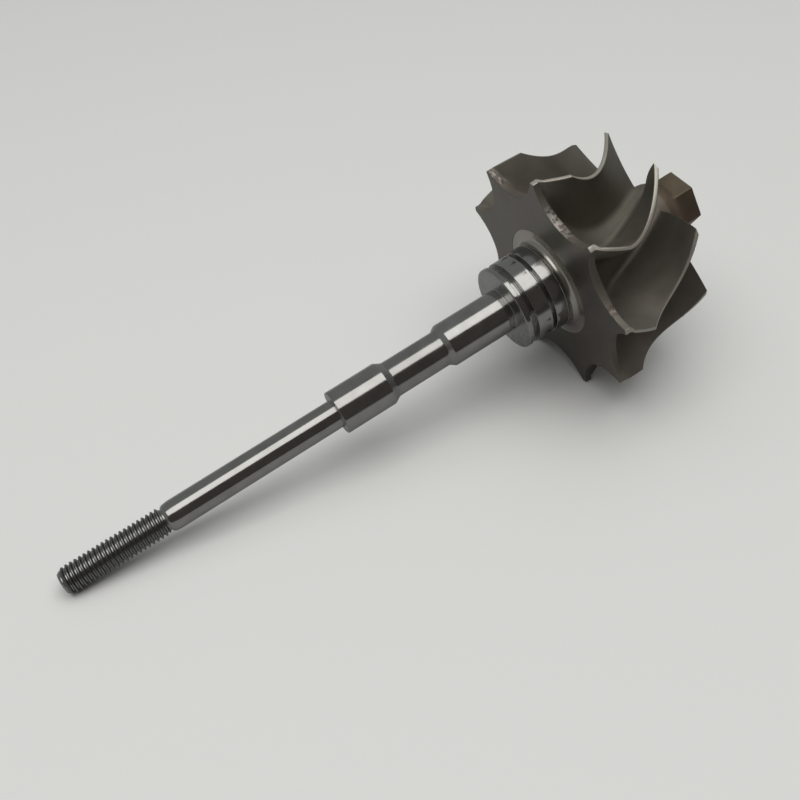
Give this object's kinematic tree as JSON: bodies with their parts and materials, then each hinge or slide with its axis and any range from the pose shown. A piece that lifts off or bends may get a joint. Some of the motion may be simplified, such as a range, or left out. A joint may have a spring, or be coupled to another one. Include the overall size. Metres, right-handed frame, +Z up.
{
  "type": "turbocharger shaft and wheel",
  "caption": "Turbine rotor of a turbocharger: a bladed, scalloped cast wheel welded to a ground steel shaft with bearing journals, seal grooves and a threaded end.",
  "frame": {"origin": "middle of the bounding box, on the level surface that the rotor lies on", "axes": "+X level, in the upright plane through the shaft's axis, from the threaded end towards the wheel; +Z up. The shaft's own axis rises 11.0 degrees towards the wheel"},
  "size_m": [0.1232, 0.0432, 0.0425],
  "materials": {
    "ground_steel": "ground and polished, with fine turning lines round the shaft",
    "cast_alloy": "fine investment-cast nickel alloy, dark brown-grey, with ground edges and machined back"
  },
  "bodies": {
    "root": {"shaft": "ground_steel", "wheel_hub": "cast_alloy", "blade_1": "cast_alloy", "blade_2": "cast_alloy", "blade_3": "cast_alloy", "blade_4": "cast_alloy", "blade_5": "cast_alloy", "blade_6": "cast_alloy", "blade_7": "cast_alloy", "blade_8": "cast_alloy", "blade_9": "cast_alloy"}
  },
  "joints": []
}
